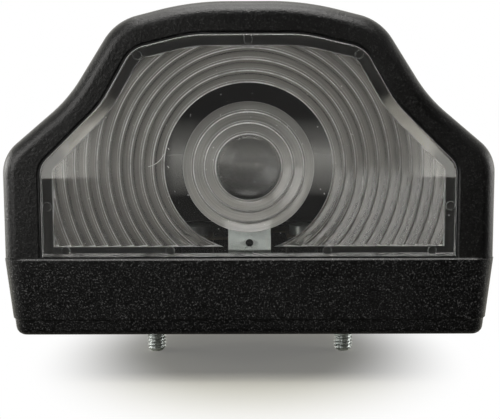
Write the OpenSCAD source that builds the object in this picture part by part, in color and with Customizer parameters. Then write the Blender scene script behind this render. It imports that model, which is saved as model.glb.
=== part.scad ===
// Number plate lamp: a black moulded base and hood, a clear lens with Fresnel rings, and a bayonet
// bulb on its bracket inside. Millimetres. The origin is on the mounting face, midway between the
// studs. The lens looks along -Y and the studs point along -Z.

/* [Base] */
// Width of the base at its lip
base_w = 88.9; // [80:0.1:105]
// Depth of the base at its lip, front to back
base_d = 57; // [52:0.5:70]
// Height of the base, from the mounting face to the seam
base_h = 14.5; // [13:0.5:20]
// How far each side leans in from the lip to the mounting face
base_draft = 1.6; // [0.5:0.1:3]
// Radius of the upright corners
base_corner_r = 4; // [2:0.25:5]
// Rounding of the bottom edge
base_edge_r = 1.4; // [0.8:0.1:2]
// Height of the foot rim
foot_h = 3; // [2.4:0.1:4]
// Depth of the step above the foot rim
foot_step = 0.25; // [0.1:0.05:0.5]
// Least thickness of the base's walls
base_wall = 2.4; // [1.8:0.1:3]
// Thickness of the base's floor
base_floor = 2.4; // [1.8:0.1:3]

/* [Hood] */
// Height of the hood above the seam
hood_h = 45.5; // [40:0.5:55]
// Thickness of the hood's walls
hood_wall = 2.4; // [1.6:0.1:3]
// How far the base's lip stands out past the hood
seam_step = 0.35; // [0.1:0.05:0.6]
// Height of the shoulder corner above the seam
shoulder_up = 18.4; // [15:0.1:22]
// Radius of the shoulder
shoulder_r = 7.2; // [5:0.1:9]
// Distance of the waist corner in from the hood's side
waist_in = 12.1; // [10:0.1:15]
// Distance of the waist corner below the top
waist_down = 16.9; // [14:0.1:20]
// Radius of the hollow waist
waist_r = 26; // [18:0.5:32]
// Distance of the crown corner in from the hood's side
crown_in = 20.7; // [18:0.1:24]
// Distance of the crown corner below the top
crown_down = 3.4; // [2.5:0.1:5]
// Radius of the crown corner
crown_r = 9.7; // [7:0.1:12]
// Distance from the middle to where the top begins to fall
peak_x = 9.9; // [8:0.1:12]
// Radius of that soft corner
peak_r = 50; // [35:1:60]
// Share of the hood's height that the roof has lost at the rear
roof_drop = 0.62; // [0.5:0.01:0.7]
// How late the roof falls: 1 is a straight ramp
roof_power = 2.3; // [1.8:0.1:2.8]
// Rounding of the hood's front edge
front_edge_r = 2.7; // [1.5:0.1:3.6]
// Rounding of the hood's rear edge
rear_edge_r = 3.2; // [2:0.1:4]

/* [Window] */
// Width of the hood's frame beside the lens
frame_side = 6.9; // [5.5:0.1:8]
// Width of the hood's frame above the lens
frame_top = 5.7; // [4.5:0.1:7]
// How far the window's shoulder corner is below the hood's
frame_shoulder_down = 1.7; // [1:0.1:3]
// How far the window's waist corner is in from the hood's
frame_waist_in = 5.9; // [5:0.1:7]
// How far the window's waist corner is below the hood's
frame_waist_down = 1; // [0.5:0.1:2]
// How far the window's crown corner is in from the hood's
frame_crown_in = 2.9; // [2:0.1:4]
// How far the window's crown corner is below the hood's
frame_crown_down = 4.8; // [4:0.1:6]
// Radius of the window's shoulder corner
window_shoulder_r = 4; // [3:0.1:6]
// Radius of the window's hollow waist
window_waist_r = 18; // [14:0.5:24]
// Radius of the window's crown corner
window_crown_r = 5.4; // [4:0.1:7]
// Radius of the window's soft top corner
window_peak_r = 26; // [20:0.5:32]
// Width of the ledge behind the lens
ledge_w = 1; // [0.7:0.1:1.5]
// Thickness of the ledge behind the lens
ledge_t = 1.4; // [1:0.1:2]
// Width of the bevel around the window
lip_bevel = 0.5; // [0.3:0.05:0.8]

/* [Lens] */
// Thickness of the lens plate
lens_t = 2.2; // [1.8:0.1:3]
// How far the lens lies behind the hood's front face
lens_recess = 0.2; // [0.1:0.05:0.4]
// Gap between the lens and the window
lens_gap = 0.1; // [0.05:0.05:0.2]
// Bevel of the lens's front edge
lens_bevel = 0.4; // [0.2:0.05:0.6]
// Width of the plain border of the lens
border_w = 1.9; // [1.5:0.1:2.5]
// Distance from one Fresnel ring to the next
ring_pitch = 2; // [1.6:0.1:2.5]
// Height of the Fresnel rings
ring_h = 0.8; // [0.5:0.05:1]
// Width of a ring's steep side
ring_riser = 0.4; // [0.3:0.05:0.6]
// Radius of the first ring outside the plain annulus
ring_first_r = 15.1; // [14:0.1:17]
// Radius of the bull's-eye
eye_r = 11.8; // [10.5:0.1:13]
// Radius of the dome in the middle of the bull's-eye
dome_r = 5.9; // [5:0.1:7]
// Height of that dome
dome_h = 1.1; // [0.8:0.05:1.4]
// Radius of the round marks that the ejector pins leave
pin_mark_r = 0.8; // [0.6:0.05:0.9]
// Depth of those marks
pin_mark_t = 0.15; // [0.1:0.05:0.3]

/* [Bulb] */
// Height of the bulb's axis and the bull's-eye above the seam
bulb_up = 16.2; // [15:0.1:19]
// Gap between the bulb and the lens's rings
bulb_gap = 3; // [2:0.1:4]
// Radius of the glass ball
ball_r = 9.2; // [8:0.1:9.5]
// Wall of the glass
glass_t = 0.6; // [0.4:0.05:0.9]
// Radius of the glass neck
neck_r = 6.6; // [6:0.1:7]
// Radius of the cap
cap_r = 7.5; // [7.2:0.05:7.8]
// Length of the cap
cap_l = 16; // [14:0.5:18]
// Wall of the cap
cap_t = 0.5; // [0.4:0.05:0.6]
// Radius of the two bayonet pins
pin_r = 1; // [0.8:0.05:1.2]
// How far the pins stand out of the cap
pin_out = 0.9; // [0.7:0.05:1.1]

/* [Bulb holder] */
// Clearance between the cap and the sleeve
sleeve_gap = 0.2; // [0.1:0.05:0.3]
// Sheet thickness of the sleeve
sleeve_t = 0.5; // [0.4:0.05:0.7]
// Length of the sleeve
sleeve_l = 11; // [9.5:0.1:13]
// Width of the bracket's strip
strip_w = 8.8; // [7:0.1:10]
// Sheet thickness of the bracket
strip_t = 1; // [0.8:0.05:1.2]
// Length of the bracket's foot in front of the strip
foot_l = 7; // [6.5:0.1:9]
// Height of the foot's pad below the seam
pad_down = 4.5; // [3.8:0.1:5.5]
// Width of the ring that holds the sleeve
ring_rim = 1.3; // [1:0.1:1.7]
// Radius of the rivets' shanks
rivet_r = 1.1; // [0.9:0.05:1.3]
// Distance from each terminal screw to the middle
terminal_x = 11; // [10:0.1:13]
// Sheet thickness of the contact leaf and the earth strip
leaf_t = 0.5; // [0.4:0.05:0.7]
// Radius of the terminal screws' shanks
terminal_screw_r = 1.4; // [1.2:0.05:1.6]

/* [Fasteners] */
// Distance between the two mounting studs
stud_spacing = 39; // [34:0.5:46]
// Radius of the studs
stud_r = 1.95; // [1.7:0.05:2.3]
// How far the studs stand out of the mounting face
stud_out = 9.5; // [9:0.5:20]
// Width across the flats of the studs' heads
stud_flats = 7; // [6:0.1:8]
// Height of the studs' heads
stud_head_h = 2.8; // [2.2:0.1:3.4]
// Distance from each hood screw to the middle of the hood's side wall
hood_screw_in = 7.8; // [7:0.1:9]
// How far the hood screws are behind the middle
hood_screw_y = 6; // [4:0.5:9]
// Radius of the hood screws' shanks
hood_screw_r = 1.65; // [1.4:0.05:1.9]
// Radius of the hood screws' heads
hood_screw_head_r = 3.1; // [2.6:0.1:3.4]
// Height of the hood screws' heads
hood_screw_head_h = 2.2; // [1.8:0.1:2.6]
// Height of the screw pockets' floor above the seam
pocket_up = 7; // [6:0.5:8]

/* [Seals] */
// Width of the seam gasket
gasket_w = 1.2; // [0.9:0.1:1.4]
// Height of the seam gasket
gasket_h = 1; // [0.8:0.1:1.2]
// Distance of the gasket's outer side in from the hood's side
gasket_in = 0.7; // [0.5:0.1:0.9]
// Radius of the cable bore in the grommet
cable_r = 2.4; // [2:0.1:2.8]
// Radius of the grommet's neck
grommet_neck_r = 3.6; // [3.3:0.1:4.2]
// Radius of the grommet's flanges
grommet_flange_r = 5; // [4.7:0.1:5.6]
// Thickness of the grommet's flanges
grommet_flange_t = 1.4; // [1:0.1:1.6]

/* [Hidden] */
$fn = 64;

plastic_black = [0.09, 0.09, 0.09];
zinc = [0.78, 0.8, 0.78];
brass = [0.8, 0.66, 0.36];

// How far a cutting shape runs past the face that it cuts
past = 1;
// Clearance around a fastener in its hole, and around a head in its pocket
hole_gap = 0.1;
head_gap = 0.3;
// Play around the gasket in its groove
groove_play = 0.05;
// Straight steps in each rounded corner of an outline
corner_steps = 6;

lip_x = base_w / 2;
lip_y = base_d / 2;
hood_x = lip_x - seam_step;
front_y = seam_step - lip_y;
rear_y = -front_y;
seam_z = base_h;
top_z = seam_z + hood_h;
axis_z = seam_z + bulb_up;

// Corners of the hood's outline on its right side: distance from the middle, height over the seam,
// radius
hood_corners = [
    [hood_x, 0, 0],
    [hood_x, shoulder_up, shoulder_r],
    [hood_x - waist_in, hood_h - waist_down, waist_r],
    [hood_x - crown_in, hood_h - crown_down, crown_r],
    [peak_x, hood_h, peak_r],
    [0, hood_h, 0]];
// How far each window corner is in from and below the hood's, and its radius
window_offsets = [
    [frame_side, 0, 0],
    [frame_side, frame_shoulder_down, window_shoulder_r],
    [frame_waist_in, frame_waist_down, window_waist_r],
    [frame_crown_in, frame_crown_down, window_crown_r],
    [0, frame_top, window_peak_r],
    [0, frame_top, 0]];
window_corners = [for (i = [0 : len(hood_corners) - 1])
    [hood_corners[i].x - window_offsets[i].x, hood_corners[i].y - window_offsets[i].y,
        window_offsets[i].z]];
window_x = hood_x - frame_side;

lens_y = front_y + lens_recess;
lens_back_y = lens_y + lens_t;
cavity_y = lens_back_y + ledge_t;
// Height of the lowest points of the Fresnel relief, so that it stays one body with the plate
ring_low = 0.1;
ring_count = ceil((norm([hood_x, hood_h]) - ring_first_r) / ring_pitch);
// Distance between the bull's-eye's own rings
eye_step = (eye_r - dome_r) / 3;
// Ejector-pin marks: height of the side ones and of the foot row, and the row's places
side_mark_up = 9.2;
foot_mark_up = border_w / 2 + 0.2;
foot_mark_in = 4.2;
foot_mark_share = 0.38;

// The bulb, measured along its axis from the tip of the glass
tip_y = lens_back_y + dome_h + bulb_gap;
neck_s = 2 * ball_r + 1.6;
cap_s = neck_s - 1.5;
cap_end_s = cap_s + cap_l;
pin_down = 9;
pin_s = cap_s + pin_down;
insulator_h = 1.2;
contact_h = 0.8;
insulator_r = 4.4;
contact_r = 2.2;
bulb_l = cap_end_s + insulator_h + contact_h;
// Angle that the bulb turns in its slots
pin_turn = 18;
filament_w = 6;
filament_r = 0.45;
stem_l = 4;

sleeve_in_r = cap_r + sleeve_gap;
sleeve_out_r = sleeve_in_r + sleeve_t;
flange_w = 0.7;
sleeve_y = tip_y + cap_s + 2;
bracket_y = sleeve_y + sleeve_t;
dimple_h = 0.3;
leaf_y = tip_y + bulb_l + dimple_h;

inner_x = lip_x - base_draft - foot_step - base_wall;
inner_y = lip_y - base_draft - foot_step - base_wall;
inner_r = 1.5;
pad_z = seam_z - pad_down;
post_z = seam_z - 0.5;
post_r = terminal_screw_r + 2;
terminal_back = 3.8;
terminal_y = bracket_y + strip_t + terminal_back;
terminal_w = 2 * (terminal_screw_r + 1.9);
terminal_head_r = terminal_screw_r + 1.3;
terminal_head_h = 1.9;
terminal_screw_l = 8;

stud_x = stud_spacing / 2;
stud_neck_r = stud_r + 0.25;
stud_seat_z = base_floor + 1.2;
boss_z = stud_seat_z + stud_head_h + 0.4;
boss_r = stud_flats / 2 + 2.5;
rivet_l = 4;
rivet_head = 0.7;
hood_screw_x = hood_x - hood_screw_in;
pocket_z = seam_z + pocket_up;
tower_r = hood_screw_r + 2.2;
pocket_r = hood_screw_head_r + head_gap;
column_r = pocket_r + 1.5;
hood_screw_l = pocket_z - base_floor - 2;

// Flat spot on the rear wall that the grommet's flange seats on
grommet_z = seam_z / 2;
spot_y = inner_y + base_wall;

function hex_r(flats) = flats / sqrt(3);
function unit(v) = v / norm(v);
function turned(v, a) = [v.x * cos(a) - v.y * sin(a), v.x * sin(a) + v.y * cos(a)];

// Arc that rounds corner b between a and c, as [x, y, normal x, normal y]. Its radius is limited by
// the edges.
function corner(a, b, c) =
    let (p = [a.x, a.y], q = [b.x, b.y], r = [c.x, c.y], u = unit(q - p), v = unit(r - q),
        turn = atan2(u.x * v.y - u.y * v.x, u * v), half_tan = tan(abs(turn) / 2),
        radius = min(b.z, 0.62 * min(norm(q - p), norm(r - q)) / half_tan), side = sign(turn),
        n0 = [u.y, -u.x], centre = q - u * radius * half_tan - side * radius * n0)
    [for (i = [0 : corner_steps])
        let (n = turned(n0, turn * i / corner_steps)) [each (centre + side * radius * n), each n]];

// Right half of an outline, from its first point up round all its corners
function half_outline(path) =
    let (d = unit([path[1].x - path[0].x, path[1].y - path[0].y]))
    concat([[path[0].x, path[0].y, d.y, -d.x]],
        [for (i = [1 : len(path) - 2]) each corner(path[i - 1], path[i], path[i + 1])]);

// Whole outline from a right half: up the left side and down the right side
function both_sides(half) =
    concat([for (p = half) [-p.x, p.y, p.z]], [for (i = [len(half) - 1 : -1 : 0]) half[i]]);

// Upright outline at y, moved in by inset, with its bottom row lowered by foot
function upright(half, y, inset = 0, foot = 0) =
    both_sides([for (i = [0 : len(half) - 1]) let (p = half[i])
        [p.x - p[2] * inset, y, seam_z + p.y - p[3] * inset - (i == 0 ? foot : 0)]]);

// Level outline at z, moved in by inset
function level(half, z, inset = 0) =
    both_sides([for (p = half) [p.x - p[2] * inset, p.y - p[3] * inset, z]]);

// Share of the hood's height that is left at y
function roof(y) = 1 - roof_drop * pow(max(0, (y - front_y) / (rear_y - front_y)), roof_power);

// Hood outline at y: the corners come down with the roof and keep their radii
function hood_outline(y) = half_outline([for (c = hood_corners) [c.x, c.y * roof(y), c.z]]);
window_outline = half_outline(window_corners);
lens_outline = [for (p = window_outline) [p.x - p[2] * lens_gap, p.y - p[3] * lens_gap, p[2], p[3]]];

// Solid skin through a row of outlines of the same length, each closed by level strips at the two ends
module loft(outlines) {
    n = len(outlines[0]);
    last = (len(outlines) - 1) * n;
    skin = [for (i = [0 : n : last - n], j = [0 : n - 1]) let (k = (j + 1) % n)
        each [[i + j, i + n + k, i + k], [i + j, i + n + j, i + n + k]]];
    first_end = [for (j = [0 : n / 2 - 2]) [j, j + 1, n - 2 - j, n - 1 - j]];
    last_end = [for (s = first_end) [for (v = [3 : -1 : 0]) last + s[v]]];
    polyhedron([for (o = outlines) each o], concat(skin, first_end, last_end));
}

// Straight prism between y0 and y1 over an upright outline
module prism(outline, y0, y1) {
    translate([0, y1, 0]) rotate([90, 0, 0]) linear_extrude(y1 - y0)
        polygon([for (p = outline) [p.x, p.z]]);
}

// Places a shape drawn along +Z on the bulb's axis, from y towards the rear
module on_axis(y) {
    translate([0, y, axis_z]) rotate([-90, 0, 0]) children();
}

module rounded_rect(x, y, r) {
    square([2 * (x - r), 2 * y], center = true);
    square([2 * x, 2 * (y - r)], center = true);
    for (i = [-1, 1], j = [-1, 1]) translate([i * (x - r), j * (y - r)]) circle(r);
}

module both_studs() {
    for (side = [-1, 1]) translate([side * stud_x, 0, 0]) children();
}

module both_hood_screws() {
    for (side = [-1, 1]) translate([side * hood_screw_x, hood_screw_y, 0]) children();
}

module both_terminals() {
    for (side = [-1, 1]) translate([side * terminal_x, terminal_y, 0]) children();
}

module both_rivets() {
    for (side = [-1, 1]) translate([side * strip_w / 4, bracket_y - foot_l / 2, 0]) children();
}

// Drafted body of the base, from the lip down to the rounded bottom edge
module base_body() {
    side = concat(corner([0, -lip_y], [lip_x, -lip_y, base_corner_r], [lip_x, 0]),
        corner([lip_x, 0], [lip_x, lip_y, base_corner_r], [0, lip_y]));
    lean = base_draft / seam_z;
    lip_edge = 0.3;
    loft([
        level(side, seam_z, lip_edge),
        level(side, seam_z - lip_edge, lip_edge * lean),
        level(side, foot_h + foot_step, (seam_z - foot_h - foot_step) * lean),
        level(side, foot_h, (seam_z - foot_h) * lean + foot_step),
        for (a = [0 : 22.5 : 90]) let (z = base_edge_r * (1 - sin(a)))
            level(side, z, (seam_z - z) * lean + foot_step + base_edge_r * (1 - cos(a)))]);
}

module base_housing() {
    color(plastic_black) difference() {
        union() {
            difference() {
                base_body();
                translate([0, 0, base_floor]) linear_extrude(seam_z)
                    rounded_rect(inner_x, inner_y, inner_r);
            }
            translate([-strip_w / 2 - 1, bracket_y - foot_l - 1, base_floor - past])
                cube([strip_w + 2, foot_l + strip_t + 2, pad_z - base_floor + past]);
            both_studs() translate([0, 0, base_floor - past])
                cylinder(r = boss_r, h = boss_z - base_floor + past);
            both_hood_screws() translate([0, 0, base_floor - past])
                cylinder(r = tower_r, h = seam_z - base_floor + past);
            both_terminals() translate([0, 0, base_floor - past])
                cylinder(r = post_r, h = post_z - base_floor + past);
        }
        translate([0, 0, seam_z - gasket_h]) linear_extrude(gasket_h + past)
            gasket_ring(groove_play);
        both_studs() {
            translate([0, 0, -past]) cylinder(r = stud_neck_r + hole_gap, h = boss_z + 2 * past);
            translate([0, 0, stud_seat_z])
                cylinder(r = hex_r(stud_flats + 2 * hole_gap), h = boss_z, $fn = 6);
        }
        both_hood_screws() translate([0, 0, base_floor])
            cylinder(r = hood_screw_r + hole_gap, h = seam_z);
        both_terminals() translate([0, 0, post_z - terminal_screw_l])
            cylinder(r = terminal_screw_r + hole_gap, h = seam_z);
        both_rivets() translate([0, 0, pad_z - rivet_l]) cylinder(r = rivet_r, h = seam_z);
        translate([0, spot_y, grommet_z]) rotate([-90, 0, 0])
            cylinder(r = grommet_flange_r + head_gap, h = lip_y);
        translate([0, 0, grommet_z]) rotate([-90, 0, 0])
            cylinder(r = grommet_neck_r, h = lip_y);
    }
}

// Flat ring of the seam gasket, or of its groove with some play
module gasket_ring(play) {
    x = hood_x - gasket_in;
    y = rear_y - gasket_in;
    r = base_corner_r;
    difference() {
        rounded_rect(x + play, y + play, r + play);
        rounded_rect(x - gasket_w - play, y - gasket_w - play, r - gasket_w - play);
    }
}

module seam_gasket() {
    color([0.13, 0.13, 0.14]) translate([0, 0, seam_z - gasket_h]) linear_extrude(gasket_h)
        gasket_ring(0);
}

// Bell-shaped body of the hood: the outline runs back under a falling roof, with rounded front and
// rear edges
module hood_body() {
    body_steps = 8;
    first = front_y + front_edge_r;
    last = rear_y - rear_edge_r;
    loft([
        for (a = [0 : 18 : 72]) upright(hood_outline(front_y), front_y + front_edge_r * (1 - cos(a)),
            front_edge_r * (1 - sin(a))),
        for (i = [0 : body_steps]) let (y = first + (last - first) * i / body_steps)
            upright(hood_outline(y), y),
        for (a = [22.5 : 22.5 : 90]) let (y = last + rear_edge_r * sin(a))
            upright(hood_outline(y), y, rear_edge_r * (1 - cos(a)))]);
}

// Hollow inside of the hood, running down past the seam
module hood_cavity() {
    cavity_steps = 8;
    last = rear_y - hood_wall;
    loft([for (i = [0 : cavity_steps]) let (y = cavity_y + (last - cavity_y) * i / cavity_steps)
        upright(hood_outline(y + hood_wall / 2), y, hood_wall, past)]);
}

module hood() {
    color(plastic_black) difference() {
        hood_body();
        difference() {
            hood_cavity();
            both_hood_screws() {
                cylinder(r = tower_r, h = top_z);
                translate([0, 0, pocket_z - hood_wall]) cylinder(r = column_r, h = top_z);
            }
        }
        prism(upright(window_outline, 0, 0, past), front_y - past, lens_back_y);
        prism(upright(window_outline, 0, ledge_w, past), lens_y, cavity_y + past);
        loft([upright(window_outline, front_y - lip_bevel, -2 * lip_bevel, past),
            upright(window_outline, front_y + lip_bevel, 0, past)]);
        both_hood_screws() {
            translate([0, 0, pocket_z]) cylinder(r = pocket_r, h = top_z);
            cylinder(r = hood_screw_r + hole_gap, h = top_z);
        }
    }
}

// Saw-tooth section of Fresnel rings, one tooth for each inner radius, the last one ending at r_end
function teeth(radii, r_end, height) = concat(
    [[radii[0], -past / 2]],
    [for (r = radii) each [[r, ring_low], [r + ring_riser, height]]],
    [[r_end, ring_low], [r_end, -past / 2]]);

// Relief on the back of the lens: a dome and three rings in the bull's-eye, a plain annulus, then rings
module fresnel_relief() {
    ball = (dome_r * dome_r + dome_h * dome_h) / (2 * dome_h);
    on_axis(lens_back_y) {
        intersection() {
            translate([0, 0, dome_h - ball]) sphere(ball);
            translate([0, 0, -past / 2]) cylinder(r = dome_r, h = dome_h + past);
        }
        rotate_extrude() polygon(teeth([for (i = [0 : 2]) dome_r + i * eye_step], eye_r, ring_h));
        rotate_extrude() polygon(teeth([for (i = [0 : ring_count - 1]) ring_first_r + i * ring_pitch],
            ring_first_r + ring_count * ring_pitch, ring_h));
    }
}

// Middles of the ejector-pin marks on the right side of the border
function pin_marks() =
    let (mid = border_w / 2, crown = lens_outline[3 * (corner_steps + 1) - corner_steps / 2])
    [[window_x - lens_gap - mid, side_mark_up],
        [crown.x - crown[2] * mid, crown.y - crown[3] * mid],
        [window_x - foot_mark_in, foot_mark_up],
        [window_x * foot_mark_share, foot_mark_up]];

module lens() {
    top_mark = [0, hood_h - frame_top - lens_gap - border_w / 2];
    middle_mark = [0, foot_mark_up];
    color([0.85, 0.88, 0.88, 0.4]) difference() {
        union() {
            loft([upright(lens_outline, lens_y, lens_bevel, -lens_bevel),
                upright(lens_outline, lens_y + lens_bevel), upright(lens_outline, lens_back_y)]);
            intersection() {
                fresnel_relief();
                prism(upright(lens_outline, 0, border_w, -border_w), lens_back_y - past / 2,
                    lens_back_y + dome_h + past);
            }
        }
        for (p = concat(pin_marks(), [for (p = pin_marks()) [-p.x, p.y]], [top_mark, middle_mark]))
            translate([p.x, lens_back_y - pin_mark_t, seam_z + p.y]) rotate([-90, 0, 0])
                cylinder(r = pin_mark_r, h = past, $fn = 24);
    }
}

// Rubber inlet in the rear wall: a neck between two flanges, with the cable bore through it
module cable_grommet() {
    wall = spot_y - inner_y;
    bevel = 0.4;
    color([0.16, 0.16, 0.17]) translate([0, inner_y - grommet_flange_t, grommet_z]) rotate([-90, 0, 0])
        difference() {
            union() {
                cylinder(r = grommet_flange_r - bevel, h = grommet_flange_t);
                cylinder(r = grommet_neck_r, h = grommet_flange_t + wall);
                translate([0, 0, grommet_flange_t + wall])
                    cylinder(r = grommet_flange_r, h = grommet_flange_t - bevel);
                translate([0, 0, 2 * grommet_flange_t + wall - bevel])
                    cylinder(r1 = grommet_flange_r, r2 = grommet_flange_r - bevel, h = bevel);
            }
            translate([0, 0, -past]) cylinder(r = cable_r, h = 2 * grommet_flange_t + wall + 2 * past);
        }
}

// Hexagon-headed stud: a plain neck through the floor, and the threaded shank below the mounting face
module stud() {
    tip = 0.7;
    color(zinc) {
        translate([0, 0, stud_seat_z]) cylinder(r = hex_r(stud_flats), h = stud_head_h, $fn = 6);
        cylinder(r = stud_neck_r, h = stud_seat_z);
        translate([0, 0, tip - stud_out]) cylinder(r = stud_r, h = stud_out - tip);
        translate([0, 0, -stud_out]) cylinder(r1 = stud_r - tip, r2 = stud_r, h = tip);
    }
}

module stud_left() {
    translate([-stud_x, 0, 0]) stud();
}

module stud_right() {
    translate([stud_x, 0, 0]) stud();
}

// Pan-headed screw with a cross recess, down through the hood's column into the base's tower
module hood_screw() {
    dome = hood_screw_head_h * 0.4;
    point = 2;
    cross = [3.4, 0.8, 1.3];
    color(zinc) translate([0, 0, pocket_z]) difference() {
        union() {
            cylinder(r = hood_screw_head_r, h = hood_screw_head_h - dome);
            translate([0, 0, hood_screw_head_h - dome])
                cylinder(r1 = hood_screw_head_r, r2 = hood_screw_head_r - dome * 1.4, h = dome);
            translate([0, 0, point - hood_screw_l])
                cylinder(r = hood_screw_r, h = hood_screw_l - point);
            translate([0, 0, -hood_screw_l]) cylinder(r1 = 0.3, r2 = hood_screw_r, h = point);
        }
        for (a = [0, 90]) rotate([0, 0, a])
            translate([-cross.x / 2, -cross.y / 2, hood_screw_head_h - cross.z])
            cube([cross.x, cross.y, past + cross.z]);
    }
}

module hood_screw_left() {
    translate([-hood_screw_x, hood_screw_y, 0]) hood_screw();
}

module hood_screw_right() {
    translate([hood_screw_x, hood_screw_y, 0]) hood_screw();
}

// Zinc-plated strip: a foot on the pad, an upright with a hole, and a ring round the sleeve
module bulb_bracket() {
    bend = strip_t;
    ring_r = sleeve_out_r + ring_rim;
    hole_r = 0.8;
    hole_z = pad_z + strip_t + bend + hole_r + 0.5;
    color(zinc) difference() {
        union() {
            translate([-strip_w / 2, bracket_y - foot_l, pad_z])
                cube([strip_w, foot_l + strip_t, strip_t]);
            translate([-strip_w / 2, bracket_y, pad_z]) cube([strip_w, strip_t, axis_z - pad_z]);
            difference() {
                translate([-strip_w / 2, bracket_y - bend, pad_z])
                    cube([strip_w, bend, strip_t + bend]);
                translate([-strip_w, bracket_y - bend, pad_z + strip_t + bend]) rotate([0, 90, 0])
                    cylinder(r = bend, h = 2 * strip_w);
            }
            on_axis(bracket_y) cylinder(r = ring_r, h = strip_t);
        }
        on_axis(bracket_y - past) cylinder(r = sleeve_out_r, h = strip_t + 2 * past);
        translate([0, bracket_y - past, hole_z]) rotate([-90, 0, 0])
            cylinder(r = hole_r, h = strip_t + 2 * past);
        both_rivets() translate([0, 0, pad_z - past]) cylinder(r = rivet_r, h = strip_t + 2 * past);
    }
}

module bracket_rivet() {
    color(zinc) {
        translate([0, 0, pad_z - rivet_l]) cylinder(r = rivet_r, h = rivet_l + strip_t);
        translate([0, 0, pad_z + strip_t])
            cylinder(r1 = rivet_r + rivet_head, r2 = rivet_r, h = rivet_head);
    }
}

module bracket_rivet_left() {
    translate([-strip_w / 4, bracket_y - foot_l / 2, 0]) bracket_rivet();
}

module bracket_rivet_right() {
    translate([strip_w / 4, bracket_y - foot_l / 2, 0]) bracket_rivet();
}

// Bayonet sleeve with a flange in front of the bracket's ring and two hooked slots
module socket_sleeve() {
    half = pin_r + 0.15;
    far = 2 * sleeve_out_r;
    reach = tip_y + pin_s - sleeve_y;
    along = [cos(pin_turn), sin(pin_turn)];
    across = [-along.y, along.x];
    color(zinc) on_axis(sleeve_y) difference() {
        union() {
            cylinder(r = sleeve_out_r, h = sleeve_l);
            cylinder(r = sleeve_out_r + flange_w, h = sleeve_t);
        }
        translate([0, 0, -past]) cylinder(r = sleeve_in_r, h = sleeve_l + 2 * past);
        for (a = [0, 180]) rotate([0, 0, a]) {
            translate([0, -half, -past]) cube([far, 2 * half, reach + past]);
            translate([0, 0, reach - half]) linear_extrude(2 * half)
                polygon([[0, -half], [far, -half], far * along + half * across, half * across]);
        }
    }
}

// Sprung leaf: a flat strip from the live screw, folded up behind the bulb with a dimple on its contact
module contact_leaf() {
    tab_x = terminal_x - terminal_w / 2;
    tab_y = terminal_y - terminal_w / 2;
    tongue = 6;
    rise = 2;
    dimple_r = 1.6;
    color(brass) difference() {
        union() {
            translate([tab_x, tab_y, post_z]) cube([terminal_w, leaf_y + leaf_t - tab_y, leaf_t]);
            translate([-tongue / 2, leaf_y + leaf_t - tongue, post_z])
                cube([tab_x + terminal_w + tongue / 2, tongue, leaf_t]);
            translate([-tongue / 2, leaf_y, post_z]) cube([tongue, leaf_t, axis_z + rise - post_z]);
            on_axis(leaf_y) cylinder(r = tongue / 2, h = leaf_t);
            translate([0, 0, rise]) on_axis(leaf_y) cylinder(r = tongue / 2, h = leaf_t);
            on_axis(tip_y + bulb_l)
                cylinder(r1 = dimple_r * 0.6, r2 = dimple_r, h = dimple_h);
        }
        translate([terminal_x, terminal_y, post_z - past])
            cylinder(r = terminal_screw_r + hole_gap, h = leaf_t + 2 * past);
    }
}

// Strip from the side of the bracket to its own terminal post
module earth_strip() {
    tab_y = terminal_y - terminal_w / 2;
    color(brass) difference() {
        union() {
            translate([-terminal_x - terminal_w / 2, tab_y, post_z])
                cube([terminal_w, terminal_w, leaf_t]);
            translate([-terminal_x - terminal_w / 2, bracket_y, post_z])
                cube([terminal_x + terminal_w / 2 - strip_w / 2, strip_t, leaf_t]);
            translate([-terminal_x - terminal_w / 2, bracket_y, post_z])
                cube([terminal_w, tab_y - bracket_y + past, leaf_t]);
        }
        translate([-terminal_x, terminal_y, post_z - past])
            cylinder(r = terminal_screw_r + hole_gap, h = leaf_t + 2 * past);
    }
}

// Slotted cheese-headed terminal screw
module terminal_screw() {
    slot_w = 0.7;
    slot_t = 0.9;
    color(zinc) translate([0, 0, post_z + leaf_t]) difference() {
        union() {
            cylinder(r = terminal_head_r, h = terminal_head_h);
            translate([0, 0, -terminal_screw_l]) cylinder(r = terminal_screw_r, h = terminal_screw_l);
        }
        translate([-terminal_head_r - past, -slot_w / 2, terminal_head_h - slot_t])
            cube([2 * (terminal_head_r + past), slot_w, slot_t + past]);
    }
}

module live_screw() {
    translate([terminal_x, terminal_y, 0]) terminal_screw();
}

module earth_screw() {
    translate([-terminal_x, terminal_y, 0]) terminal_screw();
}

// Half section of the bulb's glass at a given wall inside its outer form
module glass_form(wall) {
    translate([0, ball_r]) circle(ball_r - wall);
    translate([0, ball_r]) square([neck_r - wall, neck_s - ball_r]);
}

module bulb_glass() {
    color([0.9, 0.93, 0.95, 0.35]) on_axis(tip_y) rotate_extrude() intersection() {
        difference() {
            glass_form(0);
            glass_form(glass_t);
        }
        square([2 * ball_r, neck_s]);
    }
}

// Glass stem that carries the filament's wires
module bulb_stem() {
    stem_r = neck_r - glass_t;
    color([0.88, 0.92, 0.94, 0.5]) on_axis(tip_y + neck_s - stem_l) {
        translate([0, 0, stem_l / 2]) cylinder(r = stem_r, h = stem_l / 2);
        cylinder(r1 = stem_r / 3, r2 = stem_r * 0.6, h = stem_l / 2);
    }
}

// Coil across the middle of the ball on two wires that stand in the stem
module bulb_filament() {
    wire_r = 0.25;
    color([0.55, 0.55, 0.56]) on_axis(tip_y) {
        translate([-filament_w / 2, 0, ball_r]) rotate([0, 90, 0])
            cylinder(r = filament_r, h = filament_w);
        for (side = [-1, 1]) {
            bottom = [side * 1.2, 0, neck_s - stem_l];
            top = [side * (filament_w / 2 - wire_r), 0, ball_r];
            lean = atan2(top.x - bottom.x, bottom.z - top.z);
            drop = bottom.z - top.z - wire_r * abs(sin(lean));
            translate(top) rotate([0, -lean, 0]) cylinder(r = wire_r, h = drop / cos(lean));
        }
    }
}

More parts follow.
